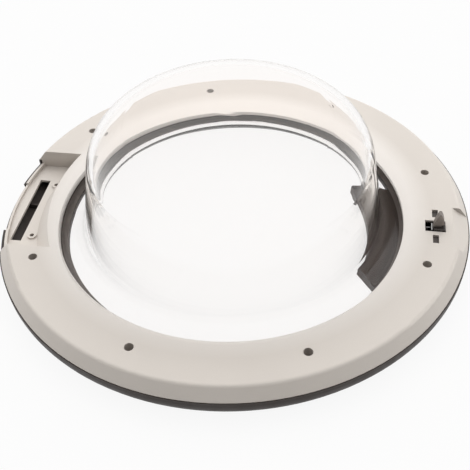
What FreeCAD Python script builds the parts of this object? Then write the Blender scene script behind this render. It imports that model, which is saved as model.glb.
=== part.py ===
import FreeCAD, Part
import math
import os
import re

import Sketcher
from FreeCAD import Placement, Rotation, Vector

# Washing machine door, lying on its front face: +Z up towards the drum side, +X towards the latch,
# origin on the front plane under the middle of the ring. All sizes in millimetres and degrees.

SIZES = {
    # light inner ring
    "ring_radius": 225.0,
    "face_height": 33.5,
    "bevel_width": 8.3,
    "bevel_drop": 11.2,
    "edge_round": 4.0,
    "frame_wall": 2.5,
    "ring_width": 56.0,
    "lip_round": 8.5,
    "nest_gap": 0.3,
    "frame_rib_depth": 5.0,
    # dark front trim
    "trim_overhang": 1.0,
    "trim_wall": 3.0,
    "trim_round": 18.0,
    "trim_lip": 7.0,
    "trim_edge_round": 4.0,
    "trim_rim_height": 21.6,
    "seat_height": 9.0,
    "seat_rib": 3.0,
    "channel_width": 9.0,
    "fence_gap": 1.2,
    "fence_wall": 2.5,
    "fence_rise": 6.0,
    "trim_rib_height": 8.1,
    "rib_thickness": 1.8,
    "rib_count": 24,
    # glass bowl
    "glass_thickness": 6.0,
    "flange_cover": 8.0,
    "foot_round": 14.0,
    "bowl_gap": 26.3,
    "wall_draft": 10.0,
    "shoulder_round": 45.0,
    "crown_round": 600.0,
    "bowl_height": 103.5,
    "gasket_thickness": 1.5,
    "gasket_inset": 0.8,
    # screws that join the two rings
    "screw_inset": 29.7,
    "screw_first_angle": 19.2,
    "screw_angle_step": 43.67,
    "well_diameter": 8.2,
    "well_wall": 2.7,
    "well_depth": 17.5,
    "screw_diameter": 4.0,
    "screw_hole_play": 0.25,
    "screw_fit": 0.05,
    "screw_head_diameter": 7.4,
    "screw_head_height": 2.8,
    "screw_length": 11.0,
    "socket_depth": 1.6,
    "socket_radius": 1.9,
    "boss_diameter": 10.0,
    # line through the hinge and the latch, and the hinge recess
    "lock_line": -13.7,
    "recess_length": 138.6,
    "recess_depth": 19.5,
    "recess_inset": 32.5,
    "recess_ramp_width": 16.5,
    "outer_wall_height": 18.0,
    "notch_length": 69.0,
    "notch_drop": 1.8,
    "rim_low_height": 15.8,
    "rim_notch_drop": 3.8,
    "slot_length": 90.9,
    "slot_width": 10.9,
    "slot_inset": 20.1,
    "hinge_boss_diameter": 8.8,
    "hinge_boss_rise": 1.5,
    "hinge_hole_diameter": 4.3,
    "hinge_thread_diameter": 3.4,
    "hinge_hole_spacing": 76.0,
    "hinge_hole_inset": 34.5,
    "bar_width": 17.5,
    "bar_length": 116.0,
    # latch
    "window_width": 18.5,
    "window_height": 14.7,
    "window_back": 10.5,
    "key_width": 5.5,
    "key_height": 10.5,
    "key_back": 3.9,
    "key_gap": 4.75,
    "pivot_inset": 31.0,
    "pivot_depth": 12.0,
    "pin_diameter": 4.0,
    "pin_fit": 0.05,
    "hook_thickness": 6.0,
    "hook_rise": 16.3,
    "barb_rise": 3.6,
    "barb_reach": 6.2,
    "stem_reach": 4.0,
    "hook_back": 4.4,
    "heel_reach": 6.6,
    "pin_head_diameter": 7.0,
    "pin_head_height": 1.2,
    "clip_groove_diameter": 3.2,
    "clip_diameter": 8.0,
    "clip_thickness": 0.8,
    "wire_diameter": 1.2,
    "coil_radius": 3.25,
    "coil_turns": 2.75,
    "coil_gap": 0.15,
    "coil_pitch": 1.255,
    "bridge_bend": 1.5,
    "bridge_line": 4.35,
    "ear_gap": 16.6,
    "sheet_metal": 1.6,
    "ear_radius": 5.0,
    "rest_wall_back": 8.6,
    "bracket_height": 14.0,
    "bracket_length": 41.6,
    "bracket_back": 10.0,
    "bracket_width": 27.0,
    "latch_screw_ahead": 12.5,
    "latch_screw_spacing": 33.0,
    "latch_screw_diameter": 3.4,
    "latch_screw_length": 9.6,
    "latch_head_diameter": 6.4,
    "latch_head_height": 2.0,
    "latch_boss_diameter": 8.0,
    "scoop_length": 54.5,
    "scoop_width": 16.0,
    # finger grip pocket
    "grip_reach": 37.5,
    "grip_height": 11.0,
    "grip_wall": 2.2,
    "grip_lift": 0.8,
    "grip_side_gap": 0.4,
    "grip_top_y": 60.3,
    "grip_corner_reach": 47.6,
    "grip_low_y": -50.8,
    "grip_low_slope": 36.2,
    "grip_edge_round": 2.5,
}

# Sizes that follow from the driving ones, as formulas in the same sheet.
FOLLOWING = {
    "opening_radius": "ring_radius - ring_width",
    "trim_radius": "ring_radius + trim_overhang",
    "trim_opening_radius": "opening_radius - trim_lip",
    "flange_radius": "opening_radius + flange_cover",
    "wall_radius": "opening_radius - bowl_gap",
    "screw_circle": "ring_radius - screw_inset",
    "recess_floor_radius": "ring_radius - recess_inset",
    "outer_wall_radius": "skirt_inner",
    "slot_middle": "ring_radius - slot_inset",
    "hinge_hole_line": "ring_radius - hinge_hole_inset",
    "pivot_x": "ring_radius - pivot_inset",
    "window_left": "pivot_x - window_back",
    "key_left": "pivot_x - key_back",
    "rest_wall_line": "pivot_x - rest_wall_back",
    "bracket_start": "pivot_x - bracket_back",
    "bracket_end": "bracket_start + bracket_width",
    "latch_screw_line": "pivot_x + latch_screw_ahead",
    "scoop_start": "ring_radius - scoop_width",
    "grip_radius": "opening_radius - grip_reach",
    "grip_low_x": "opening_radius - grip_corner_reach",
    "face_under": "face_height - frame_wall",
    "bevel_start": "ring_radius - bevel_width",
    "bevel_foot": "face_height - bevel_drop",
    "bevel_length": "sqrt(bevel_width ^ 2 + bevel_drop ^ 2)",
    "edge_soft": "edge_round * (bevel_length - bevel_width) / bevel_drop",
    "edge_soft_out": "edge_soft * bevel_width / bevel_length",
    "edge_soft_down": "edge_soft * bevel_drop / bevel_length",
    "bevel_inner": "bevel_start - frame_wall * (bevel_length - bevel_width) / bevel_drop",
    "edge_foot": "trim_rim_height + nest_gap",
    "rim_inner": "trim_radius - trim_wall",
    "skirt_outer": "rim_inner - nest_gap",
    "skirt_inner": "skirt_outer - frame_wall",
    "skirt_foot": "trim_round",
    "skirt_top": "face_under - (skirt_inner - bevel_inner) * bevel_drop / bevel_width",
    "lip_outer": "opening_radius + lip_round",
    "lip_turn": "face_height - lip_round",
    "channel_inner": "trim_opening_radius + seat_rib",
    "channel_outer": "channel_inner + channel_width",
    "fence_inner": "flange_radius + fence_gap",
    "fence_outer": "fence_inner + fence_wall",
    "fence_top": "seat_height + fence_rise",
    "front_flat": "trim_radius - trim_round",
    "flange_under": "seat_height + gasket_thickness",
    "flange_top": "flange_under + glass_thickness",
    "lip_foot": "flange_top + nest_gap",
    "foot_height": "flange_top + foot_round",
    "foot_centre": "wall_radius + (face_height - foot_height) * tan(wall_draft) + foot_round / cos(wall_draft)",
    "crown_height": "face_height + bowl_height",
    "crown_centre": "crown_height - crown_round",
    "shoulder_line": "wall_radius + face_height * tan(wall_draft) - shoulder_round / cos(wall_draft)",
    "shoulder_reach": "crown_round - shoulder_round",
    "shoulder_half": "shoulder_line * tan(wall_draft) + crown_centre",
    "shoulder_square": "shoulder_line ^ 2 + crown_centre ^ 2 - shoulder_reach ^ 2",
    "draft_square": "1 + tan(wall_draft) ^ 2",
    "shoulder_z": "(shoulder_half + sqrt(shoulder_half ^ 2 - draft_square * shoulder_square)) / draft_square",
    "shoulder_r": "shoulder_line - shoulder_z * tan(wall_draft)",
    "well_floor": "face_height - well_depth",
    "well_foot": "well_floor - frame_wall",
    "boss_top": "well_foot - nest_gap",
    "recess_floor": "face_height - recess_depth",
    "tub_foot": "recess_floor - frame_wall",
    "recess_low_y": "lock_line - recess_length / 2",
    "ramp_length": "sqrt(recess_ramp_width ^ 2 + recess_depth ^ 2)",
    "ramp_top": "recess_floor_radius - recess_ramp_width",
    "ramp_under_top": "ramp_top - frame_wall * (ramp_length - recess_ramp_width) / recess_depth",
    "ramp_under_foot": "recess_floor_radius - frame_wall * (ramp_length - recess_ramp_width) / recess_depth",
    "tub_side_foot": "skirt_outer - 2.1",
    "tub_side_middle": "skirt_outer - 0.5",
    "hinge_boss_top": "recess_floor + hinge_boss_rise",
    "bar_under": "trim_rib_height + nest_gap",
    "bar_thickness": "tub_foot - nest_gap - bar_under",
    "pivot_z": "face_height - pivot_depth",
    "bracket_under": "bracket_height - sheet_metal",
    "latch_boss_foot": "bracket_height + nest_gap",
    "ear_outer": "ear_gap / 2 + sheet_metal",
    "hook_tip": "pivot_depth + hook_rise",
    "barb_foot": "pivot_depth + barb_rise",
    "heel_foot": "bracket_height + nest_gap - pivot_z",
    "coil_start": "hook_thickness / 2 + coil_gap + wire_diameter / 2",
    "coil_end": "coil_start + coil_turns * coil_pitch",
    "rest_wall_top": "pivot_z + coil_radius - wire_diameter / 2 - coil_gap",
    "grip_channel_outer": "channel_outer - grip_side_gap",
    "grip_channel_floor": "trim_wall + grip_side_gap",
    "grip_flange_top": "seat_height - nest_gap",
    "grip_step": "trim_opening_radius - grip_lift",
}

doc = FreeCAD.newDocument("WashingMachineDoor")
sizes = doc.addObject("Spreadsheet::Sheet", "Sizes")
for row, (alias, value) in enumerate(SIZES.items(), start=1):
    sizes.set("A%d" % row, alias)
    sizes.set("B%d" % row, str(value))
    sizes.setAlias("B%d" % row, alias)
for row, (alias, formula) in enumerate(FOLLOWING.items(), start=len(SIZES) + 1):
    sizes.set("A%d" % row, alias)
    sizes.set("B%d" % row, "=" + formula)
    sizes.setAlias("B%d" % row, alias)
doc.recompute()

ALIASES = set(SIZES) | set(FOLLOWING)
NODES = []


def linked(formula):
    """The formula with each size written as a cell of the sheet."""
    return re.sub(r"[A-Za-z_]\w*", lambda word: "Sizes." + word[0] if word[0] in ALIASES else word[0], formula)


def number(formula):
    """The value of a formula at the sheet's present sizes."""
    return float(sizes.evalExpression(linked(formula)))


def bind(thing, **formulas):
    """Ties properties of an object to the sheet; a double underscore stands for a dot."""
    for name, formula in formulas.items():
        thing.setExpression(name.replace("__", "."), linked(formula))


def node(thing, label):
    """Marks an object as a finished piece of the door, with the name of its file."""
    thing.Label = label
    NODES.append(thing)
    return thing


def plane_of(body, role):
    """One of a body's own origin planes or axes."""
    return next(feature for feature in body.Origin.OriginFeatures if feature.Role == role)


def outline(body, name, plane, corners):
    """Closed sketch outline. A corner is (x, y), or (x, y, radius, turn) when an arc leads up to it."""
    sketch = body.newObject("Sketcher::SketchObject", name)
    sketch.AttachmentSupport = [(plane_of(body, plane), "")]
    sketch.MapMode = "FlatFace"
    points = [Vector(number(corner[0]), number(corner[1]), 0) for corner in corners]
    ends = []
    for index, corner in enumerate(corners):
        start, end = points[index - 1], points[index]
        if len(corner) == 2:
            edge = sketch.addGeometry(Part.LineSegment(start, end), False)
            ends.append((edge, 1, 2))
            continue
        radius = number(corner[2])
        half = (end - start) * 0.5
        side = Vector(-half.y, half.x, 0).normalize()
        if corner[3] == "right":
            side = side * -1
        centre = start + half + side * math.sqrt(max(radius ** 2 - half.Length ** 2, 0))
        first, last = (start, end) if corner[3] == "left" else (end, start)
        angles = [math.atan2(point.y - centre.y, point.x - centre.x) for point in (first, last)]
        circle = Part.Circle(centre, Vector(0, 0, 1), radius)
        edge = sketch.addGeometry(Part.ArcOfCircle(circle, angles[0], angles[1]), False)
        ends.append((edge, 1, 2) if corner[3] == "left" else (edge, 2, 1))
        constrain(sketch, "Radius%d" % index, corner[2], "Radius", edge, radius)
    for index, corner in enumerate(corners):
        edge, _, last = ends[index]
        following, first, _ = ends[(index + 1) % len(ends)]
        sketch.addConstraint(Sketcher.Constraint("Coincident", edge, last, following, first))
        for axis, kind, formula, rail in (("X", "DistanceX", corner[0], -2), ("Y", "DistanceY", corner[1], -1)):
            if formula == "0":
                sketch.addConstraint(Sketcher.Constraint("PointOnObject", edge, last, rail))
            else:
                constrain(sketch, "%s%d" % (axis, index), formula, kind, -1, 1, edge, last, number(formula))
    return sketch


def constrain(sketch, name, formula, *terms):
    """Adds one named dimension to a sketch and ties it to the sheet."""
    index = sketch.addConstraint(Sketcher.Constraint(*terms))
    sketch.renameConstraint(index, name)
    sketch.setExpression("Constraints." + name, linked(formula))


def revolved(name, corners):
    """Body turned about the Z axis from an outline of (radius, height) corners."""
    body = doc.addObject("PartDesign::Body", name)
    sketch = outline(body, name + "Profile", "XZ_Plane", corners)
    turned = body.newObject("PartDesign::Revolution", name + "Turn")
    turned.Profile = sketch
    turned.ReferenceAxis = (sketch, ["V_Axis"])
    turned.Angle = 360
    sketch.Visibility = False
    return body


def plate(name, corners, base, height):
    """Body padded upwards by a height, from an outline of (x, y) corners that lies at a base height."""
    body = doc.addObject("PartDesign::Body", name)
    sketch = outline(body, name + "Outline", "XY_Plane", corners)
    pad = body.newObject("PartDesign::Pad", name + "Pad")
    pad.Profile = sketch
    bind(pad, Length=height)
    bind(body, Placement__Base__z=base)
    return body


def add_ribs(body, name, inner, outer, base, height):
    """Radial ribs on a turned body, as a polar pattern of one padded rib."""
    half = "rib_thickness / 2"
    sketch = outline(body, name + "Outline", "XY_Plane",
                     [(inner, "0 - " + half), (outer, "0 - " + half), (outer, half), (inner, half)])
    bind(sketch, AttachmentOffset__Base__z=base)
    pad = body.newObject("PartDesign::Pad", name + "Pad")
    pad.Profile = sketch
    bind(pad, Length=height)
    doc.recompute()
    pattern = body.newObject("PartDesign::PolarPattern", name)
    pattern.Originals = [pad]
    pattern.Axis = (plane_of(body, "Z_Axis"), [""])
    pattern.Angle = 360
    bind(pattern, Occurrences="rib_count")
    body.Tip = pattern


def box(name, low_x, low_y, low_z, length, width, height):
    """Upright box from its lowest corner."""
    thing = doc.addObject("Part::Box", name)
    bind(thing, Length=length, Width=width, Height=height)
    bind(thing, Placement__Base__x=low_x, Placement__Base__y=low_y, Placement__Base__z=low_z)
    return thing


def cylinder(name, radius, height, x, y, z):
    """Upright cylinder on its base centre."""
    thing = doc.addObject("Part::Cylinder", name)
    bind(thing, Radius=radius, Height=height)
    bind(thing, Placement__Base__x=x, Placement__Base__y=y, Placement__Base__z=z)
    return thing


def fused(name, things):
    thing = doc.addObject("Part::MultiFuse", name)
    thing.Shapes = things
    return thing


def common(name, things):
    thing = doc.addObject("Part::MultiCommon", name)
    thing.Shapes = things
    return thing


def cut(name, base, tool):
    thing = doc.addObject("Part::Cut", name)
    thing.Base = base
    thing.Tool = tool
    return thing


def at_screws(name, radius, height, z):
    """One cylinder at each of the eight joining screws, four on each side of the X axis."""
    things = []
    for side in (1, -1):
        for step in range(4):
            angle = "%d * (screw_first_angle + %d * screw_angle_step)" % (side, step)
            place = "screw_circle * cos(%s)" % angle, "screw_circle * sin(%s)" % angle
            things.append(cylinder("%s%d%s" % (name, step + 1, "ab"[side < 0]), radius, height, *place, z))
    return things


def at_pair(name, x, spacing, radius, height, z):
    """Two cylinders, one on each side of the line through hinge and latch."""
    return [cylinder(name + "ab"[side < 0], radius, height, x, "lock_line + %d * %s / 2" % (side, spacing), z)
            for side in (1, -1)]


def lock_box(name, low_x, low_z, length, width, height):
    """Box centred on the line through hinge and latch."""
    return box(name, low_x, "lock_line - (%s) / 2" % width, low_z, length, width, height)


EDGE = [
    ("ring_radius", "bevel_foot"),
    ("bevel_start + edge_soft_out", "face_height - edge_soft_down"),
    ("bevel_start - edge_soft", "face_height", "edge_round", "left"),
]


def hole(body, name, radius, x="0", y="0"):
    """Round hole right through a body along its own Y axis."""
    sketch = body.newObject("Sketcher::SketchObject", name + "Circle")
    sketch.AttachmentSupport = [(plane_of(body, "XZ_Plane"), "")]
    sketch.MapMode = "FlatFace"
    edge = sketch.addGeometry(Part.Circle(Vector(0, 0, 0), Vector(0, 0, 1), number(radius)), False)
    sketch.addConstraint(Sketcher.Constraint("Coincident", edge, 3, -1, 1))
    constrain(sketch, "HoleRadius", radius, "Radius", edge, number(radius))
    pocket = body.newObject("PartDesign::Pocket", name)
    pocket.Profile = sketch
    pocket.Type = "ThroughAll"
    pocket.SideType = "Symmetric"
    sketch.Visibility = False
    body.Tip = pocket


def upright_plate(name, corners, thickness, x, y, z):
    """Body padded evenly to both sides along Y, from an outline of (x, z) corners about its own place."""
    body = doc.addObject("PartDesign::Body", name)
    sketch = outline(body, name + "Outline", "XZ_Plane", corners)
    pad = body.newObject("PartDesign::Pad", name + "Pad")
    pad.Profile = sketch
    pad.SideType = "Symmetric"
    bind(pad, Length=thickness)
    bind(body, Placement__Base__x=x, Placement__Base__y=y, Placement__Base__z=z)
    sketch.Visibility = False
    return body


def grip_region(name, margin):
    """The part of the opening that the finger grip takes, larger or smaller all round by a margin."""
    sideways = "(%s) / cos(grip_low_slope)" % margin
    low_y = "0 - trim_radius"
    far_x = "trim_radius + 60"
    top_y = "grip_top_y + (%s)" % margin
    low_x = "grip_low_x + (grip_low_y + trim_radius) * tan(grip_low_slope) - " + sideways
    top_x = "grip_low_x - (%s - grip_low_y) * tan(grip_low_slope) - %s" % (top_y, sideways)
    return plate(name, [(top_x, top_y), (low_x, low_y), (far_x, low_y), (far_x, top_y)], "0 - 5", "face_height")


def make_outer_frame():
    """Dark front trim: rounded channel with seat ribs for the glass, radial ribs and screw bosses."""
    ring = revolved("TrimRing", [
        ("trim_radius", "trim_rim_height"),
        ("rim_inner", "trim_rim_height"),
        ("rim_inner", "trim_round"),
        ("front_flat", "trim_wall", "trim_round - trim_wall", "right"),
        ("fence_outer", "trim_wall"),
        ("fence_outer", "fence_top"),
        ("fence_inner", "fence_top"),
        ("fence_inner", "seat_height"),
        ("channel_outer", "seat_height"),
        ("channel_outer", "trim_wall"),
        ("channel_inner", "trim_wall"),
        ("channel_inner", "seat_height"),
        ("trim_opening_radius", "seat_height"),
        ("trim_opening_radius", "trim_edge_round"),
        ("trim_opening_radius + trim_edge_round", "0", "trim_edge_round", "left"),
        ("front_flat", "0"),
        ("trim_radius", "trim_round", "trim_round", "left"),
    ])
    add_ribs(ring, "TrimRibs", "fence_outer - 0.5", "front_flat + 5", "trim_wall - 0.5",
             "trim_rib_height - trim_wall + 0.5")
    bosses = at_screws("TrimBoss", "boss_diameter / 2", "boss_top - trim_wall + 0.5", "trim_wall - 0.5")
    holes = at_screws("TrimHole", "screw_diameter / 2 + screw_fit", "boss_top",
                      "well_floor - screw_length - 1")
    low_rim = lock_box("TrimLowRim", "0 - trim_radius - 6", "rim_low_height", "32", "recess_length",
                       "face_height")
    notch = lock_box("TrimNotch", "0 - trim_radius - 6", "rim_low_height - rim_notch_drop", "20",
                     "notch_length", "face_height")
    grip = common("TrimGripCut", [
        grip_region("TrimGripRegion", "grip_side_gap"),
        revolved("TrimGripRing", [
            ("trim_opening_radius - 4", "trim_wall"),
            ("channel_outer", "trim_wall"),
            ("channel_outer", "seat_height + 2"),
            ("trim_opening_radius - 4", "seat_height + 2"),
        ]),
    ])
    body = fused("TrimWithBosses", [ring] + bosses)
    return node(cut("TrimDone", body, fused("TrimCuts", holes + [low_rim, notch, grip])), "outer_frame")


def make_ring_body():
    """Inner ring before its openings: shell, ribs, screw wells, recess tub and the backing of the scoop."""
    shell = revolved("RingShell", EDGE + [
        ("lip_outer", "face_height"),
        ("opening_radius", "lip_turn", "lip_round", "left"),
        ("opening_radius", "lip_foot"),
        ("opening_radius + frame_wall", "lip_foot"),
        ("opening_radius + frame_wall", "lip_turn"),
        ("lip_outer", "face_under", "lip_round - frame_wall", "right"),
        ("bevel_inner", "face_under"),
        ("skirt_inner", "skirt_top"),
        ("skirt_inner", "skirt_foot"),
        ("skirt_outer", "skirt_foot"),
        ("skirt_outer", "edge_foot"),
        ("ring_radius", "edge_foot"),
    ])
    add_ribs(shell, "RingRibs", "lip_outer + 4", "bevel_start - 2", "face_under - frame_rib_depth",
             "frame_rib_depth + 0.5")
    latch_room = lock_box("LatchRoom", "window_left - 1", "bracket_under", "bracket_end - window_left + 2",
                          "bracket_length + 4", "face_under - bracket_under")
    wells = at_screws("Well", "well_diameter / 2 + well_wall", "face_under - well_foot + 0.5", "well_foot")
    latch_bosses = at_pair("LatchBoss", "latch_screw_line", "latch_screw_spacing", "latch_boss_diameter / 2",
                           "face_under - latch_boss_foot + 0.5", "latch_boss_foot")
    cups = at_pair("HingeCup", "0 - hinge_hole_line", "hinge_hole_spacing", "hinge_boss_diameter / 2 + 2",
                   "recess_depth / 2", "tub_foot")
    tub = common("Tub", [
        revolved("TubRing", [
            ("bevel_start - 1", "face_height - 1"),
            ("lip_outer + 1", "face_height - 1"),
            ("ramp_under_top + frame_wall", "face_under - 0.5"),
            ("ramp_under_top", "face_under - 0.5 - frame_wall"),
            ("ramp_under_foot", "tub_foot"),
            ("skirt_outer - 2.1", "tub_foot"),
            ("skirt_outer - 0.5", "tub_foot + 4"),
            ("skirt_outer", "skirt_foot"),
            ("skirt_outer - 1", "skirt_foot + 1"),
            ("skirt_outer - 1", "edge_foot + 2"),
        ]),
        lock_box("TubRegion", "0 - trim_radius - 6", "0", "trim_radius", "recess_length + 2 * frame_wall",
                 "face_height + 1"),
    ])
    scoop_back = common("ScoopBack", [
        revolved("ScoopRing", [
            ("bevel_start - 1", "face_height - 1"),
            ("scoop_start - 4", "face_height - 1"),
            ("scoop_start - 4", "face_under - 1"),
            ("skirt_inner + 1", "edge_foot - 1"),
            ("skirt_outer - 1", "edge_foot - 1"),
            ("skirt_outer - 1", "edge_foot + 2"),
        ]),
        lock_box("ScoopRegion", "0", "0", "trim_radius", "scoop_length + 2 * frame_wall", "face_height + 1"),
    ])
    cored = cut("RingCored", shell, latch_room)
    return fused("RingBody", [cored, tub, scoop_back] + wells + latch_bosses + cups)


def make_scoop():
    """Sloping cut beside the latch, from the flat face down to the foot of the bevel."""
    slope = "bevel_drop / (ring_radius - scoop_start)"
    return upright_plate("Scoop", [
        ("scoop_start", "face_height"),
        ("ring_radius + 5", "face_height - (ring_radius + 5 - scoop_start) * " + slope),
        ("ring_radius + 5", "face_height + 2"),
        ("scoop_start", "face_height + 2"),
    ], "scoop_length", "0", "lock_line", "0")


def make_inner_frame():
    """Light ring with its screw wells, hinge recess, latch windows and scoop cut out."""
    hollow = common("Recess", [
        revolved("RecessRing", [
            ("recess_floor_radius", "recess_floor"),
            ("outer_wall_radius", "recess_floor"),
            ("outer_wall_radius", "outer_wall_height"),
            ("ring_radius + 5", "outer_wall_height"),
            ("ring_radius + 5", "face_height + recess_depth"),
            ("ramp_top - recess_ramp_width", "face_height + recess_depth"),
        ]),
        lock_box("RecessRegion", "0 - trim_radius - 6", "0", "trim_radius", "recess_length",
                 "face_height + recess_depth"),
    ])
    wall_notch = lock_box("WallNotch", "0 - trim_radius - 6", "outer_wall_height - notch_drop", "20",
                          "notch_length", "face_height")
    head_room = at_pair("HingeHeadRoom", "0 - hinge_hole_line", "hinge_hole_spacing",
                        "hinge_boss_diameter / 2 + 0.4", "face_height", "hinge_boss_top")
    opened = cut("RingOpened", make_ring_body(), fused("RecessCuts", [hollow, wall_notch] + head_room))
    hinge_bosses = at_pair("HingeBoss", "0 - hinge_hole_line", "hinge_hole_spacing",
                           "hinge_boss_diameter / 2", "hinge_boss_top - tub_foot", "tub_foot")
    bossed = fused("RingBossed", [opened] + hinge_bosses)
    cutters = [make_scoop()]
    cutters += at_screws("WellHole", "well_diameter / 2", "well_depth + 1", "well_floor")
    cutters += at_screws("WellFloorHole", "screw_diameter / 2 + screw_hole_play", "frame_wall + 2",
                         "well_foot - 1")
    cutters += at_pair("HingeHole", "0 - hinge_hole_line", "hinge_hole_spacing", "hinge_hole_diameter / 2",
                       "hinge_boss_top - tub_foot + 2", "tub_foot - 1")
    cutters += at_pair("LatchPilot", "latch_screw_line", "latch_screw_spacing",
                       "latch_screw_diameter / 2 + screw_fit", "latch_screw_length", "latch_boss_foot - 1")
    cutters.append(lock_box("HingeSlot", "0 - slot_middle - slot_width / 2", "tub_foot - 1", "slot_width",
                            "slot_length", "frame_wall + 2"))
    cutters.append(lock_box("HookWindow", "window_left", "face_under - 1", "window_width", "window_height",
                            "frame_wall + 2"))
    for side in (1, -1):
        low_y = "lock_line + %d * (window_height / 2 + key_gap + key_height / 2) - key_height / 2" % side
        cutters.append(box("KeyWindow" + "ab"[side < 0], "key_left", low_y, "face_under - 1", "key_width",
                           "key_height", "frame_wall + 2"))
    return node(cut("RingDone", bossed, fused("RingCutters", cutters)), "inner_frame")


def make_glass():
    """Glass bowl: flange, foot fillet, drafted wall, tangent shoulder and a slightly domed crown."""
    thick = "glass_thickness"
    pull = "(shoulder_z - crown_centre) / shoulder_reach"
    reach = "shoulder_r / shoulder_reach"
    shoulder, inner_shoulder = "shoulder_round", "(shoulder_round - glass_thickness)"
    foot, inner_foot = "foot_round", "(foot_round + glass_thickness)"
    wall_point = "shoulder_r + %s * cos(wall_draft)", "shoulder_z + %s * sin(wall_draft)"
    crown_point = "shoulder_r + %s * " + reach, "shoulder_z + %s * " + pull
    foot_point = "foot_centre - %s * cos(wall_draft)", "foot_height - %s * sin(wall_draft)"
    bowl = revolved("Glass", [
        ("0", "crown_height - " + thick),
        (crown_point[0] % inner_shoulder, crown_point[1] % inner_shoulder, "crown_round - " + thick, "right"),
        (wall_point[0] % inner_shoulder, wall_point[1] % inner_shoulder, inner_shoulder, "right"),
        (foot_point[0] % inner_foot, foot_point[1] % inner_foot),
        ("foot_centre", "flange_under", inner_foot, "left"),
        ("flange_radius", "flange_under"),
        ("flange_radius", "flange_top"),
        ("foot_centre", "flange_top"),
        (foot_point[0] % foot, foot_point[1] % foot, foot, "right"),
        (wall_point[0] % shoulder, wall_point[1] % shoulder),
        (crown_point[0] % shoulder, crown_point[1] % shoulder, shoulder, "left"),
        ("0", "crown_height", "crown_round", "left"),
    ])
    return node(bowl, "door_glass")


def make_gasket():
    """Flat rubber ring between the glass flange and the seat ribs."""
    gasket = revolved("Gasket", [
        ("flange_radius - 0.2", "seat_height"),
        ("flange_radius - 0.2", "flange_under"),
        ("trim_opening_radius + 1", "flange_under"),
        ("trim_opening_radius + 1", "seat_height"),
    ])
    return node(gasket, "glass_gasket")


def make_grip():
    """Finger grip: a pocket behind the front trim, open to the front, clamped below the glass."""
    solid = common("GripSolid", [
        revolved("GripOuter", [
            ("grip_radius", "grip_lift"),
            ("grip_step", "grip_lift"),
            ("grip_step", "grip_channel_floor"),
            ("grip_channel_outer", "grip_channel_floor"),
            ("grip_channel_outer", "grip_flange_top"),
            ("trim_opening_radius - 4", "grip_flange_top"),
            ("grip_radius + 14.5", "grip_height"),
            ("grip_radius + grip_edge_round", "grip_height"),
            ("grip_radius", "grip_height - grip_edge_round", "grip_edge_round", "left"),
        ]),
        grip_region("GripRegion", "0"),
    ])
    hollow = common("GripHollow", [
        revolved("GripInner", [
            ("grip_radius + grip_wall", "0 - 1"),
            ("grip_channel_outer - grip_wall", "0 - 1"),
            ("grip_channel_outer - grip_wall", "grip_flange_top - grip_wall"),
            ("trim_opening_radius - 4.3", "grip_flange_top - grip_wall"),
            ("grip_radius + 14.2", "grip_height - grip_wall"),
            ("grip_radius + grip_wall + 1.3", "grip_height - grip_wall"),
            ("grip_radius + grip_wall", "grip_height - grip_wall - 1.3"),
        ]),
        grip_region("GripInnerRegion", "0 - grip_wall"),
    ])
    return node(cut("Grip", solid, hollow), "grip_shell")


def make_frame_screws():
    """The eight screws in the wells, each with a bevelled head and a hexagon socket."""
    heads = at_screws("ScrewHead", "screw_head_diameter / 2", "screw_head_height", "well_floor")
    shanks = at_screws("ScrewShank", "screw_diameter / 2", "screw_length + 1", "well_floor - screw_length")
    sockets = []
    for head in heads:
        socket = doc.addObject("Part::Prism", head.Name.replace("Head", "Socket"))
        socket.Polygon = 6
        bind(socket, Circumradius="socket_radius", Height="socket_depth + 1")
        socket.setExpression("Placement.Base.x", head.Name + ".Placement.Base.x")
        socket.setExpression("Placement.Base.y", head.Name + ".Placement.Base.y")
        bind(socket, Placement__Base__z="well_floor + screw_head_height - socket_depth")
        sockets.append(socket)
    screws = cut("FrameScrews", fused("ScrewBlanks", heads + shanks), fused("ScrewSockets", sockets))
    return node(screws, "frame_screws")


def make_latch_screws():
    """The two screws that clamp the latch bracket to its bosses from below."""
    heads = at_pair("LatchHead", "latch_screw_line", "latch_screw_spacing", "latch_head_diameter / 2",
                    "latch_head_height", "bracket_under - latch_head_height")
    shanks = at_pair("LatchShank", "latch_screw_line", "latch_screw_spacing", "latch_screw_diameter / 2",
                     "latch_screw_length + 1", "bracket_under - 1")
    sockets = []
    for head in heads:
        socket = doc.addObject("Part::Prism", head.Name.replace("Head", "Socket"))
        socket.Polygon = 6
        bind(socket, Circumradius="socket_radius - 0.3", Height="latch_head_height - 0.4 + 1")
        socket.setExpression("Placement.Base.x", head.Name + ".Placement.Base.x")
        socket.setExpression("Placement.Base.y", head.Name + ".Placement.Base.y")
        bind(socket, Placement__Base__z="bracket_under - latch_head_height - 1")
        sockets.append(socket)
    screws = cut("LatchScrews", fused("LatchScrewBlanks", heads + shanks), fused("LatchSockets", sockets))
    return node(screws, "latch_screws")


def make_hinge_bar():
    """Steel bar behind the recess floor with the two threaded holes for the hinge."""
    blank = lock_box("BarBlank", "0 - fence_outer - nest_gap - bar_width", "bar_under", "bar_width",
                     "bar_length", "bar_thickness")
    holes = at_pair("BarHole", "0 - hinge_hole_line", "hinge_hole_spacing", "hinge_thread_diameter / 2",
                    "bar_thickness + 2", "bar_under - 1")
    return node(cut("HingeBar", blank, fused("BarHoles", holes)), "hinge_bar")


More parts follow.
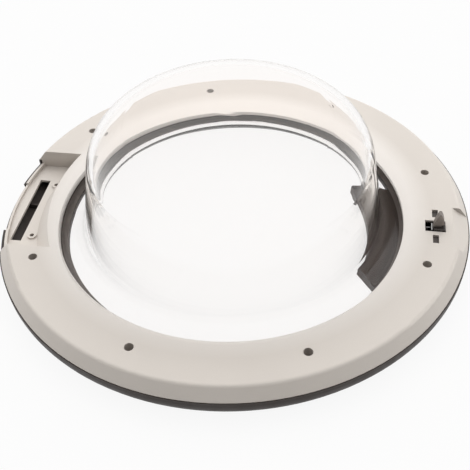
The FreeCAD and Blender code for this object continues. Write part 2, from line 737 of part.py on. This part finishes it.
def make_latch_bracket():
    """Folded steel bracket: base plate, two rounded ears for the pin and a wall for the spring ends."""
    base = lock_box("BracketBase", "bracket_start", "bracket_under", "bracket_end - bracket_start",
                    "bracket_length", "sheet_metal")
    wall = lock_box("BracketWall", "rest_wall_line", "bracket_under", "sheet_metal", "ear_gap",
                    "rest_wall_top - bracket_under")
    ears = []
    for side in (1, -1):
        ear = upright_plate("BracketEar" + "ab"[side < 0], [
            ("0 - ear_radius", "bracket_under - pivot_z"),
            ("ear_radius", "bracket_under - pivot_z"),
            ("ear_radius", "0"),
            ("0", "ear_radius", "ear_radius", "left"),
            ("0 - ear_radius", "0", "ear_radius", "left"),
        ], "sheet_metal", "pivot_x", "lock_line + %d * (ear_gap + sheet_metal) / 2" % side, "pivot_z")
        hole(ear, "EarHole" + "ab"[side < 0], "pin_diameter / 2 + pin_fit")
        ears.append(ear)
    holes = at_pair("BracketHole", "latch_screw_line", "latch_screw_spacing",
                    "latch_screw_diameter / 2 + 0.2", "sheet_metal + 2", "bracket_under - 1")
    blank = fused("BracketBlank", [base, wall] + ears)
    return node(cut("Bracket", blank, fused("BracketHoles", holes)), "latch_bracket")


def lay_on_pivot(thing):
    """Turns a body that was made upright so that its axis lies along the latch pivot, top end to -Y."""
    thing.Placement = Placement(Vector(0, 0, 0), Rotation(Vector(1, 0, 0), 90))
    bind(thing, Placement__Base__x="pivot_x", Placement__Base__y="lock_line", Placement__Base__z="pivot_z")
    return thing


def make_latch_pin():
    """Headed pin across the bracket with a groove for its clip."""
    groove_low = "0 - ear_outer - 0.3 - clip_thickness"
    pin = revolved("LatchPin", [
        ("0", groove_low + " - 1"),
        ("pin_diameter / 2 - 0.4", groove_low + " - 1"),
        ("pin_diameter / 2", groove_low + " - 0.6"),
        ("pin_diameter / 2", groove_low),
        ("clip_groove_diameter / 2", groove_low),
        ("clip_groove_diameter / 2", "0 - ear_outer - 0.2"),
        ("pin_diameter / 2", "0 - ear_outer - 0.2"),
        ("pin_diameter / 2", "ear_outer + 0.2"),
        ("pin_head_diameter / 2", "ear_outer + 0.2"),
        ("pin_head_diameter / 2", "ear_outer + 0.2 + pin_head_height"),
        ("0", "ear_outer + 0.2 + pin_head_height"),
    ])
    return node(lay_on_pivot(pin), "latch_pin")


def make_pin_clip():
    """Open spring clip that snaps into the groove of the pin."""
    low = "0 - ear_outer - 0.25 - clip_thickness"
    blank = cylinder("ClipBlank", "clip_diameter / 2", "clip_thickness", "0", "0", low)
    bore = cylinder("ClipBore", "clip_groove_diameter / 2 + pin_fit", "clip_thickness + 2", "0", "0",
                    low + " - 1")
    mouth = box("ClipMouth", "0 - clip_groove_diameter * 0.42", "0", low + " - 1", "clip_groove_diameter * 0.84",
                "clip_diameter", "clip_thickness + 2")
    return node(lay_on_pivot(cut("Clip", blank, fused("ClipOpening", [bore, mouth]))), "pin_clip")


def make_latch_hook():
    """Sprung hook: hub on the pin, heel that stops on the bracket, stem and barb towards the latch side."""
    hook = upright_plate("Hook", [
        ("2", "heel_foot"),
        ("heel_reach", "heel_foot"),
        ("heel_reach", "heel_foot + 3"),
        ("stem_reach", "0 - 0.5"),
        ("stem_reach", "barb_foot"),
        ("barb_reach", "barb_foot + 0.3"),
        ("barb_reach", "barb_foot + 1.1"),
        ("barb_reach - 3.2", "hook_tip - 1", "26", "left"),
        ("barb_reach - 5.6", "hook_tip", "1.6", "left"),
        ("0.8 - hook_back", "pivot_depth + 0.6", "45", "left"),
        ("0 - hook_back", "3"),
        ("0 - hook_back", "1.2"),
        ("0 - 3", "0 - 3.4", "sqrt(hook_back ^ 2 + 1.44)", "left"),
    ], "hook_thickness", "pivot_x", "lock_line", "pivot_z")
    hole(hook, "HookHole", "pin_diameter / 2 + pin_fit")
    return node(hook, "latch_hook")


def rod(start, end):
    """Straight piece of the spring's wire."""
    return Part.makeCylinder(number("wire_diameter") / 2, (end - start).Length, start, end - start)


def half_spring():
    """One coil with its leg and its half of the bridge, wound about Z with the barb's side at +X."""
    coil, gap, last = number("coil_radius"), number("coil_start"), number("coil_end")
    wire, line, bend = number("wire_diameter / 2"), number("bridge_line"), number("bridge_bend")
    top, side = number("pivot_depth - 0.4"), number("coil_start + wire_diameter / 2")
    pitch = number("coil_pitch")
    section = Part.Circle(Vector(coil, 0, 0), Vector(0, coil, pitch / (2 * math.pi)), wire)
    helix = Part.makeHelix(pitch, last - gap, coil)
    turned = Part.Wire(helix.Edges).makePipeShell([Part.Wire([section.toShape()])], True, True)
    turned.Placement = Placement(Vector(0, 0, gap), Rotation(Vector(0, 0, 1), 180))
    leg_start, bridge_foot = Vector(0, coil, last), Vector(-coil, 0, gap)
    shoulder = Vector(-line, top - bend, side)
    round_wire = Part.Face(Part.Wire([Part.Circle(shoulder, Vector(0, 1, 0), wire).toShape()]))
    pieces = [
        rod(leg_start, Vector(-coil - 5.1, coil, last)),
        rod(bridge_foot, shoulder),
        round_wire.revolve(Vector(-line, top - bend, side - bend), Vector(1, 0, 0), -90),
        rod(Vector(-line, top, side - bend), Vector(-line, top, -0.02)),
    ]
    pieces += [Part.makeSphere(wire * 1.01, point) for point in (leg_start, bridge_foot, shoulder)]
    return turned.fuse(pieces)


def make_latch_spring():
    """Double torsion spring: two coils on the pin, a bridge behind the hook, legs on the bracket wall."""
    half = half_spring()
    spring = doc.addObject("Part::Feature", "Spring")
    spring.Shape = half.fuse(half.mirror(Vector(0, 0, 0), Vector(0, 0, 1))).removeSplitter()
    pivot = Vector(number("pivot_x"), number("lock_line"), number("pivot_z"))
    spring.Placement = Placement(pivot, Rotation(Vector(1, 0, 0), 90))
    return node(spring, "latch_spring")


def main():
    make_outer_frame()
    make_inner_frame()
    make_glass()
    make_gasket()
    make_grip()
    make_frame_screws()
    make_hinge_bar()
    make_latch_bracket()
    make_latch_pin()
    make_pin_clip()
    make_latch_hook()
    make_latch_spring()
    make_latch_screws()
    doc.recompute()
    faulty = [thing.Name for thing in doc.Objects if "Invalid" in thing.State or "Error" in thing.State]
    faulty += [thing.Label for thing in NODES if thing.Shape.isNull() or not thing.Shape.isValid()]
    if faulty:
        raise ValueError("faulty objects: " + ", ".join(faulty))
    os.makedirs("parts", exist_ok=True)
    for thing in NODES:
        thing.Shape.exportStep("parts/%s.step" % thing.Label)
        print(thing.Label, "solids", len(thing.Shape.Solids), "volume", round(thing.Shape.Volume))


main()
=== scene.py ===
import math

import bmesh
import bpy
from mathutils import Matrix, Vector


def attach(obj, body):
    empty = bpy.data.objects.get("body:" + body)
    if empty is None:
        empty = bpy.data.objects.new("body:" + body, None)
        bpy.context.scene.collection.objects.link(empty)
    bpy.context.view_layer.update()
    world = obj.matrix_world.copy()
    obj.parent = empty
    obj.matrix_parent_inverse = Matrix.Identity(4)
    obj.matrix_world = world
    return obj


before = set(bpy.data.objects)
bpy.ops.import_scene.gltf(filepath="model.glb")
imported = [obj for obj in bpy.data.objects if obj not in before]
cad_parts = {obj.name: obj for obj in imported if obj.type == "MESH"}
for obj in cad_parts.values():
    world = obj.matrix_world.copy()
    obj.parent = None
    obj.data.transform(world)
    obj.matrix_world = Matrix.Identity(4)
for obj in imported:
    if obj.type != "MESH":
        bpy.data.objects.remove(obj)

# Looks of a washing machine door that lies on its front. Lengths are in metres, angles in degrees.

# camera, as fitted to the photograph
CAMERA_PLACE = Vector((0.10874, -0.56340, 0.53594))
CAMERA_AIM = Vector((0.00997, -0.04720, 0.03350))
CAMERA_ROLL = -2.866
CAMERA_LENS_MM = 60.03
CAMERA_CLIP = (0.01, 50.0)
SENSOR_MM = 36.0

# colours, in linear light
RING_COLOUR = (0.705, 0.656, 0.604)
TRIM_COLOUR = (0.046, 0.035, 0.031)
GRIP_COLOUR = (0.068, 0.050, 0.045)
RUBBER_COLOUR = (0.300, 0.275, 0.262)
HOOK_COLOUR = (0.300, 0.268, 0.248)
ZINC_COLOUR = (0.210, 0.180, 0.165)
# dark cast colour of the hook's foot, partly painted shade of the hook's window
CAST_AND_SHADE_COLOUR = (0.090, 0.076, 0.070)
BAR_COLOUR = (0.060, 0.055, 0.052)
WIRE_COLOUR = (0.780, 0.780, 0.775)
SCREW_COLOUR = (0.330, 0.325, 0.315)
GLASS_COLOUR = (0.998, 0.985, 0.976)
GLASS_IOR = 1.30
# painted shade: the dark line under the ring's lip
LIP_SHADE_COLOUR = (0.105, 0.088, 0.080)
PLATE_COLOUR = (0.066, 0.052, 0.047)
# painted shade: the grey band across the glass flange
FLANGE_SHADE_COLOUR = (0.330, 0.290, 0.270)
# the ring's colour for its corners is painted shade; the trim's and grip's are pale dust
RING_CREVICE_SHADE = (0.190, 0.160, 0.145)
TRIM_DUST = (0.100, 0.090, 0.080)
GRIP_DUST = (0.120, 0.090, 0.070)
TALC_COLOUR = (0.380, 0.360, 0.345)
STRIP_DUST = (0.900, 0.850, 0.800)
FLOOR_COLOUR = (0.740, 0.740, 0.740)

# metals: colour, stain and painted shade in the corners, size and stretch of the grain, its depth, lowest and
# highest roughness
METALS = {
    "HookMetal": (HOOK_COLOUR, (0.060, 0.055, 0.050), 0.0005, (1.0, 1.0, 1.0), 0.00008, 0.42, 0.58),
    "HookCastAndShade": (CAST_AND_SHADE_COLOUR, (0.030, 0.028, 0.026), 0.0009, (1.0, 1.0, 1.0), 0.00022, 0.50, 0.65),
    "BarSteel": (BAR_COLOUR, (0.030, 0.028, 0.026), 0.0004, (1.0, 8.0, 1.0), 0.00003, 0.50, 0.65),
    "BracketZinc": (ZINC_COLOUR, (0.200, 0.190, 0.170), 0.0004, (1.0, 8.0, 1.0), 0.00003, 0.30, 0.45),
    "SpringWire": (WIRE_COLOUR, (0.300, 0.290, 0.280), 0.0002, (1.0, 1.0, 1.0), 0.00001, 0.18, 0.30),
    "ScrewSteel": (SCREW_COLOUR, (0.050, 0.050, 0.050), 0.0003, (1.0, 1.0, 6.0), 0.00003, 0.30, 0.45),
}

# which finish each CAD piece wears
NODE_FINISHES = {
    "inner_frame": "RingPlastic",
    "outer_frame": "TrimPlastic",
    "grip_shell": "GripPlastic",
    "door_glass": "BowlGlass",
    "glass_gasket": "GasketRubber",
    "latch_hook": "HookMetal",
    "latch_bracket": "BracketZinc",
    "hinge_bar": "BarSteel",
    "latch_spring": "SpringWire",
    "latch_pin": "SpringWire",
    "pin_clip": "SpringWire",
    "frame_screws": "ScrewSteel",
    "latch_screws": "ScrewSteel",
}

# painted light: the ring's plastic is made paler near the opening, which lights its rounded lip. Its tint,
# the share of that, and the distances from the middle between which it goes from painted pale to the plain
# used colour
PAINTED_LIGHT_TINT = (1.00, 0.97, 0.94)
PAINTED_LIGHT_SHARE = 0.40
PAINTED_LIGHT_RING = (0.171, 0.190)
# turn of a rounded normal, from where a place counts as flat to where it counts as an edge
EDGE_TURN = (0.98, 0.80)
# share of open surroundings, from where a place counts as open to where it counts as shut in
OPEN_SHARE = (0.95, 0.25)
# rays for each look at the surroundings
LOOK_RAYS = 4

# light: its strength to all sides, how that grows along each axis, its tint, and how white the floor is seen
SKY_LEVEL = 0.55
SKY_LEAN = (-0.06, 1.22, 0.78)
SKY_TINT = (1.00, 0.99, 0.98)
FLOOR_WHITE = 0.91
FLOOR_ROUGHNESS = 0.9
FLOOR_REACH = 6.0

ROUND_STEPS = 240
STEPS = [math.tau * step / ROUND_STEPS for step in range(ROUND_STEPS)]
# thin rings about the door's middle that are painted shade, a dark line under the ring's lip and a grey band
# across the glass flange: colour, and corners of (radius, height)
SHADE_STRIPS = {
    "LipShadeStrip": (LIP_SHADE_COLOUR, ((0.1677, 0.01653), (0.1700, 0.01653), (0.1700, 0.01677), (0.1677, 0.01677))),
    "FlangeShadeStrip": (FLANGE_SHADE_COLOUR, ((0.1618, 0.01053), (0.1767, 0.01053), (0.1767, 0.01063), (0.1618, 0.01063))),
}
# flat lip from the ring's face to the opening's real edge, which lies off the ring's middle
LIP_OUTER_RADIUS = 0.1785
LIP_EDGE_RADIUS = 0.1637
LIP_EDGE_MIDDLE = -0.0137
LIP_TOP = 0.03351
LIP_FOOT = 0.0303
LIP_SOFT = 0.0004
# blocks at the latch, by their lowest and highest corner, and the rounding of their edges: the foot of the
# hook, dark partly from its cast metal and partly with painted shade of the hook's window, and the plates
# that close the two small windows beside it
HOOK_FOOT = ((0.1908, -0.0200, 0.0290), (0.2012, -0.0074, 0.0350))
HOOK_FOOT_EDGE = 0.0008
KEY_PLATES = {"KeyPlateFront": ((0.1899, -0.0365, 0.0302), (0.1958, -0.0256, 0.0312)),
              "KeyPlateBack": ((0.1899, -0.0018, 0.0302), (0.1958, 0.0091, 0.0312))}
KEY_PLATE_EDGE = 0.0001
ROUNDING_STEPS = 3


class Finish:
    """A procedural material, built up from one Principled shader and noise in the object's own metres."""

    def __init__(self, name):
        self.material = bpy.data.materials.new(name)
        self.material.use_nodes = True
        self.nodes = self.material.node_tree.nodes
        self.links = self.material.node_tree.links
        self.shader = self.nodes["Principled BSDF"]
        self.place = self.nodes.new("ShaderNodeTexCoord").outputs["Object"]
        self.normal = None

    def put(self, **values):
        """Sets plain numbers and colours on the shader's own sockets."""
        for name, value in values.items():
            self.shader.inputs[name.replace("_", " ")].default_value = value
        return self

    def noise(self, size, detail=3.0, stretch=(1.0, 1.0, 1.0)):
        """Noise with grains of about the given size in metres, from 0 to 1."""
        mapping = self.nodes.new("ShaderNodeMapping")
        mapping.inputs["Scale"].default_value = stretch
        self.links.new(self.place, mapping.inputs["Vector"])
        texture = self.nodes.new("ShaderNodeTexNoise")
        texture.inputs["Scale"].default_value = 1.0 / size
        texture.inputs["Detail"].default_value = detail
        self.links.new(mapping.outputs["Vector"], texture.inputs["Vector"])
        return texture.outputs["Fac"]

    def from_middle(self):
        """Distance from the upright axis through the object's own origin, in metres."""
        flat = self.nodes.new("ShaderNodeVectorMath")
        flat.operation = "MULTIPLY"
        flat.inputs[1].default_value = (1.0, 1.0, 0.0)
        self.links.new(self.place, flat.inputs[0])
        length = self.nodes.new("ShaderNodeVectorMath")
        length.operation = "LENGTH"
        self.links.new(flat.outputs["Vector"], length.inputs[0])
        return length.outputs["Value"]

    def spread(self, value, low, high, to_low=0.0, to_high=1.0):
        """A value taken from one range to another, held at the ends."""
        ramp = self.nodes.new("ShaderNodeMapRange")
        ramp.inputs["From Min"].default_value = low
        ramp.inputs["From Max"].default_value = high
        ramp.inputs["To Min"].default_value = to_low
        ramp.inputs["To Max"].default_value = to_high
        self.links.new(value, ramp.inputs["Value"])
        return ramp.outputs["Result"]

    def times(self, value, share):
        """A value that varies over the surface, times a plain number."""
        node = self.nodes.new("ShaderNodeMath")
        node.operation = "MULTIPLY"
        self.links.new(value, node.inputs[0])
        node.inputs[1].default_value = share
        return node.outputs["Value"]

    def mix(self, share, first, second):
        """Colour between two colours, by a share that varies over the surface."""
        node = self.nodes.new("ShaderNodeMix")
        node.data_type = "RGBA"
        self.links.new(share, node.inputs["Factor"])
        for socket, value in ((node.inputs[6], first), (node.inputs[7], second)):
            if isinstance(value, tuple):
                socket.default_value = (*value, 1.0)
            else:
                self.links.new(value, socket)
        return node.outputs[2]

    def colour(self, value):
        self.links.new(value, self.shader.inputs["Base Color"])

    def rough(self, value):
        self.links.new(value, self.shader.inputs["Roughness"])

    def bump(self, height, depth, strength):
        """Adds relief of the given depth in metres on top of what is there already."""
        node = self.nodes.new("ShaderNodeBump")
        node.inputs["Distance"].default_value = depth
        node.inputs["Strength"].default_value = strength
        self.links.new(height, node.inputs["Height"])
        if self.normal is not None:
            self.links.new(self.normal, node.inputs["Normal"])
        self.normal = node.outputs["Normal"]
        self.links.new(self.normal, self.shader.inputs["Normal"])

    def edges(self, radius):
        """How near a sharp edge is, from 0 on the flat to 1, by the turn of a rounded normal."""
        round_normal = self.nodes.new("ShaderNodeBevel")
        round_normal.samples = LOOK_RAYS
        round_normal.inputs["Radius"].default_value = radius
        flat_normal = self.nodes.new("ShaderNodeNewGeometry")
        dot = self.nodes.new("ShaderNodeVectorMath")
        dot.operation = "DOT_PRODUCT"
        self.links.new(round_normal.outputs["Normal"], dot.inputs[0])
        self.links.new(flat_normal.outputs["True Normal"], dot.inputs[1])
        return self.spread(dot.outputs["Value"], *EDGE_TURN)

    def crevices(self, distance):
        """How far a place is shut in by the surfaces around it, from 0 in the open to 1."""
        shade = self.nodes.new("ShaderNodeAmbientOcclusion")
        shade.samples = LOOK_RAYS
        shade.inputs["Distance"].default_value = distance
        return self.spread(shade.outputs["AO"], *OPEN_SHARE)


def darker(colour, share):
    """A colour with that share of its strength."""
    return tuple(part * share for part in colour)


def tinted(colour, other, share):
    """A colour moved towards another by a share of the way."""
    return tuple(a + (b - a) * share for a, b in zip(colour, other))


def moulded_plastic(name, colour, dust_and_shade, grain, least_rough, most_rough):
    """Satin moulded plastic: spark-eroded grain, faint flow shades, rubbed edges, and a colour in the corners
    that is painted shade on the pale ring and pale dust on the darker plastics.
    """
    finish = Finish(name)
    # slow shades from the flow of the plastic, then the specks of the grain
    flow = finish.spread(finish.noise(0.060, detail=2.0, stretch=(1.0, 1.0, 0.4)), 0.35, 0.65)
    body = finish.mix(flow, darker(colour, 0.985), tinted(colour, (1.0, 1.0, 1.0), 0.012))
    speck = finish.spread(finish.noise(0.0012, detail=4.0), 0.30, 0.70)
    body = finish.mix(finish.times(speck, 0.25), body, darker(colour, 0.93))
    # a colour where the surface is shut in, painted shade on the pale ring and pale dust on the darker
    # plastics, and pale edges where hands have rubbed it
    body = finish.mix(finish.times(finish.crevices(0.012), 0.35), body, dust_and_shade)
    rubbed = finish.times(finish.edges(0.0006), 0.5)
    finish.colour(finish.mix(rubbed, body, tinted(colour, (0.9, 0.9, 0.9), 0.10)))
    # wiped smears in the sheen, the grain itself, and the slow waviness of a moulded wall
    smear = finish.noise(0.018, detail=5.0, stretch=(1.0, 2.2, 1.0))
    finish.rough(finish.spread(smear, 0.30, 0.70, least_rough, most_rough))
    finish.bump(finish.noise(grain, detail=2.0), depth=grain * 0.12, strength=0.6)
    finish.bump(finish.noise(0.025, detail=1.0), depth=0.00006, strength=0.5)
    return finish.put(IOR=1.5)


def ring_plastic():
    """The ring's plastic is paler towards the opening: painted light on its rounded lip."""
    finish = moulded_plastic("RingPlastic", RING_COLOUR, RING_CREVICE_SHADE, 0.00045, 0.42, 0.54)
    used = finish.shader.inputs["Base Color"].links[0].from_socket
    # painted light: a paler ring colour near the opening
    painted_light = tinted(RING_COLOUR, PAINTED_LIGHT_TINT, PAINTED_LIGHT_SHARE)
    finish.colour(finish.mix(finish.spread(finish.from_middle(), *PAINTED_LIGHT_RING), painted_light, used))
    return finish.put(Specular_IOR_Level=0.45)


def trim_plastic():
    finish = moulded_plastic("TrimPlastic", TRIM_COLOUR, TRIM_DUST, 0.00035, 0.40, 0.52)
    return finish.put(Specular_IOR_Level=0.22)


def bowl_glass():
    """Pressed clear glass: polished, with the faint waviness of its mould and a little wipe haze."""
    finish = Finish("BowlGlass")
    haze = finish.spread(finish.noise(0.045, detail=4.0, stretch=(1.0, 1.0, 2.5)), 0.45, 0.75)
    finish.rough(finish.times(haze, 0.006))
    finish.bump(finish.noise(0.080, detail=0.0, stretch=(1.0, 1.0, 1.6)), depth=0.00002, strength=0.5)
    return finish.put(Base_Color=(*GLASS_COLOUR, 1.0), Transmission_Weight=1.0, IOR=GLASS_IOR,
                      Specular_IOR_Level=0.5)


def gasket_rubber():
    """Matt grey rubber with talc left on it."""
    finish = Finish("GasketRubber")
    talc = finish.spread(finish.noise(0.004, detail=5.0), 0.50, 0.80)
    finish.colour(finish.mix(finish.times(talc, 0.3), RUBBER_COLOUR, TALC_COLOUR))
    finish.rough(finish.spread(finish.noise(0.010), 0.3, 0.7, 0.62, 0.82))
    finish.bump(finish.noise(0.0007), depth=0.00008, strength=0.7)
    return finish


def shade_strip(name, colour):
    """Thin strip of painted shade, faintly dusty."""
    finish = Finish(name)
    dust_and_shade = finish.spread(finish.noise(0.006, detail=4.0), 0.45, 0.80)
    finish.colour(finish.mix(finish.times(dust_and_shade, 0.4), colour, tinted(colour, STRIP_DUST, 0.12)))
    finish.rough(finish.spread(finish.noise(0.008), 0.3, 0.7, 0.55, 0.75))
    finish.bump(finish.noise(0.0006, detail=2.0), depth=0.00005, strength=0.6)
    return finish


def metal(name, colour, stain_and_shade, grain, stretch, depth, least_rough, most_rough):
    """Bare or plated metal with drawn or cast grain, worn bright along its edges."""
    finish = Finish(name)
    # clouded plating, stained and darkened with painted shade where it is shut in
    clouds = finish.spread(finish.noise(0.006, detail=5.0), 0.35, 0.70)
    body = finish.mix(clouds, colour, darker(colour, 0.78))
    body = finish.mix(finish.times(finish.crevices(0.004), 0.7), body, stain_and_shade)
    worn = finish.times(finish.edges(0.0004), 0.7)
    finish.colour(finish.mix(worn, body, tinted(colour, (0.85, 0.85, 0.84), 0.45)))
    finish.rough(finish.spread(finish.noise(0.003, detail=4.0), 0.3, 0.7, least_rough, most_rough))
    finish.bump(finish.noise(grain, stretch=stretch), depth, strength=0.7)
    return finish.put(Metallic=1.0)


def make_finishes():
    """All materials of the scene's own, by name."""
    finishes = [ring_plastic(), trim_plastic(), bowl_glass(), gasket_rubber(),
                moulded_plastic("GripPlastic", GRIP_COLOUR, GRIP_DUST, 0.00060, 0.38, 0.52),
                moulded_plastic("PlatePlastic", PLATE_COLOUR, TRIM_DUST, 0.00035, 0.40, 0.52)]
    finishes += [metal(name, *looks) for name, looks in METALS.items()]
    finishes += [shade_strip(name, colour) for name, (colour, corners) in SHADE_STRIPS.items()]
    return {finish.material.name: finish.material for finish in finishes}


def dress_nodes(materials):
    """Gives each CAD piece its finish in place of the plain one it came with."""
    for name, finish_name in NODE_FINISHES.items():
        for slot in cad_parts[name].material_slots:
            slot.material = materials[finish_name]


def add_band(name, rows, material):
    """Closed band round the door, from rows of points, one row for each step round."""
    count = len(rows[0])
    faces = []
    for step in range(len(rows)):
        near, far = step * count, (step + 1) % len(rows) * count
        for index in range(count):
            after = (index + 1) % count
            faces.append((near + index, far + index, far + after, near + after))
    mesh = bpy.data.meshes.new(name)
    mesh.from_pydata([point for row in rows for point in row], [], faces)
    mesh.materials.append(material)
    band = bpy.data.objects.new(name, mesh)
    bpy.context.scene.collection.objects.link(band)
    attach(band, "door")


def add_shade_strips(materials):
    """Thin rings of painted shade round the door's middle."""
    for name, (colour, corners) in SHADE_STRIPS.items():
        rows = [[(radius * math.cos(angle), radius * math.sin(angle), height) for radius, height in corners]
                for angle in STEPS]
        add_band(name, rows, materials[name])


def add_lip(material):
    """Flat lip of the ring, which ends at the opening's real edge."""
    rows = []
    for angle in STEPS:
        turn = Vector((math.cos(angle), math.sin(angle), 0.0))
        edge = turn * LIP_EDGE_RADIUS + Vector((0.0, LIP_EDGE_MIDDLE, 0.0))
        edge *= min(1.0, (LIP_OUTER_RADIUS - 2.0 * LIP_SOFT) / edge.length)
        outer = turn * LIP_OUTER_RADIUS
        inset = edge + edge.normalized() * LIP_SOFT
        rows.append([(*outer.xy, LIP_TOP), (*inset.xy, LIP_TOP), (*edge.xy, LIP_TOP - LIP_SOFT),
                     (*edge.xy, LIP_FOOT), (*outer.xy, LIP_FOOT)])
    add_band("RingLip", rows, material)


def add_block(name, corners, edge, material, body):
    """Block with rounded edges between its lowest and highest corner."""
    low, high = corners
    build = bmesh.new()
    bmesh.ops.create_cube(build, size=1.0)
    for point in build.verts:
        point.co = Vector(a + (b - a) * (part + 0.5) for a, b, part in zip(low, high, point.co))
    bmesh.ops.bevel(build, geom=build.edges[:], offset=edge, segments=ROUNDING_STEPS, affect="EDGES")
    mesh = bpy.data.meshes.new(name)
    build.to_mesh(mesh)
    build.free()
    mesh.materials.append(material)
    block = bpy.data.objects.new(name, mesh)
    bpy.context.scene.collection.objects.link(block)
    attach(block, body)


def add_latch_blocks(materials):
    """Cast foot that fills the lower end of the hook's window, dark partly from the cast metal and partly
    with painted shade, and the plates in the small windows.
    """
    add_block("HookFoot", HOOK_FOOT, HOOK_FOOT_EDGE, materials["HookCastAndShade"], "hook")
    for name, corners in KEY_PLATES.items():
        add_block(name, corners, KEY_PLATE_EDGE, materials["PlatePlastic"], "door")


def add_camera():
    camera_data = bpy.data.cameras.new("Camera")
    camera_data.lens = CAMERA_LENS_MM
    camera_data.sensor_width = SENSOR_MM
    camera_data.sensor_fit = "HORIZONTAL"
    camera_data.clip_start, camera_data.clip_end = CAMERA_CLIP
    camera = bpy.data.objects.new("Camera", camera_data)
    aim = (CAMERA_AIM - CAMERA_PLACE).to_track_quat("-Z", "Y").to_matrix().to_4x4()
    roll = Matrix.Rotation(math.radians(CAMERA_ROLL), 4, "Z")
    camera.matrix_world = Matrix.Translation(CAMERA_PLACE) @ aim @ roll
    bpy.context.scene.collection.objects.link(camera)
    bpy.context.scene.camera = camera


def seen_rays(nodes, links):
    """1 for rays that come from the camera, or through gloss or glass, and 0 for the rest."""
    path = nodes.new("ShaderNodeLightPath")
    total = path.outputs["Is Camera Ray"]
    for name in ("Is Glossy Ray", "Is Transmission Ray"):
        node = nodes.new("ShaderNodeMath")
        node.operation = "ADD"
        node.use_clamp = True
        links.new(total, node.inputs[0])
        links.new(path.outputs[name], node.inputs[1])
        total = node.outputs["Value"]
    return total


def add_world():
    """Soft light from all round that grows towards the back and the top, seen as plain white."""
    world = bpy.data.worlds.new("Studio")
    bpy.context.scene.world = world
    world.use_nodes = True
    nodes, links = world.node_tree.nodes, world.node_tree.links
    light = nodes["Background"]
    light.inputs["Color"].default_value = (*SKY_TINT, 1.0)
    lean = nodes.new("ShaderNodeVectorMath")
    lean.operation = "DOT_PRODUCT"
    lean.inputs[1].default_value = SKY_LEAN
    links.new(nodes.new("ShaderNodeTexCoord").outputs["Generated"], lean.inputs[0])
    level = nodes.new("ShaderNodeMath")
    level.operation = "ADD"
    level.inputs[1].default_value = SKY_LEVEL
    links.new(lean.outputs["Value"], level.inputs[0])
    dark = nodes.new("ShaderNodeMath")
    dark.operation = "MAXIMUM"
    dark.inputs[1].default_value = 0.0
    links.new(level.outputs["Value"], dark.inputs[0])
    links.new(dark.outputs["Value"], light.inputs["Strength"])
    white = nodes.new("ShaderNodeBackground")
    white.inputs["Color"].default_value = (1.0, 1.0, 1.0, 1.0)
    mix = nodes.new("ShaderNodeMixShader")
    links.new(seen_rays(nodes, links), mix.inputs["Fac"])
    links.new(light.outputs["Background"], mix.inputs[1])
    links.new(white.outputs["Background"], mix.inputs[2])
    links.new(mix.outputs["Shader"], nodes["World Output"].inputs["Surface"])


def add_floor():
    """White table that keeps a faint shadow of the door."""
    mesh = bpy.data.meshes.new("Floor")
    corners = [(FLOOR_REACH * x, FLOOR_REACH * y, 0.0) for x, y in ((-1, -1), (1, -1), (1, 1), (-1, 1))]
    mesh.from_pydata(corners, [], [(0, 1, 2, 3)])
    floor = bpy.data.objects.new("Floor", mesh)
    bpy.context.scene.collection.objects.link(floor)
    material = bpy.data.materials.new("Floor")
    material.use_nodes = True
    nodes, links = material.node_tree.nodes, material.node_tree.links
    matt = nodes["Principled BSDF"]
    matt.inputs["Base Color"].default_value = (*FLOOR_COLOUR, 1.0)
    matt.inputs["Roughness"].default_value = FLOOR_ROUGHNESS
    glow = nodes.new("ShaderNodeEmission")
    share = nodes.new("ShaderNodeMath")
    share.operation = "MULTIPLY"
    links.new(seen_rays(nodes, links), share.inputs[0])
    share.inputs[1].default_value = FLOOR_WHITE
    mix = nodes.new("ShaderNodeMixShader")
    links.new(share.outputs["Value"], mix.inputs["Fac"])
    links.new(matt.outputs["BSDF"], mix.inputs[1])
    links.new(glow.outputs["Emission"], mix.inputs[2])
    links.new(mix.outputs["Shader"], nodes["Material Output"].inputs["Surface"])
    mesh.materials.append(material)


def main():
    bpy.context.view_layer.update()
    bpy.context.scene.view_settings.view_transform = "Standard"
    materials = make_finishes()
    dress_nodes(materials)
    add_lip(materials["RingPlastic"])
    add_shade_strips(materials)
    add_latch_blocks(materials)
    add_world()
    add_floor()
    add_camera()


main()
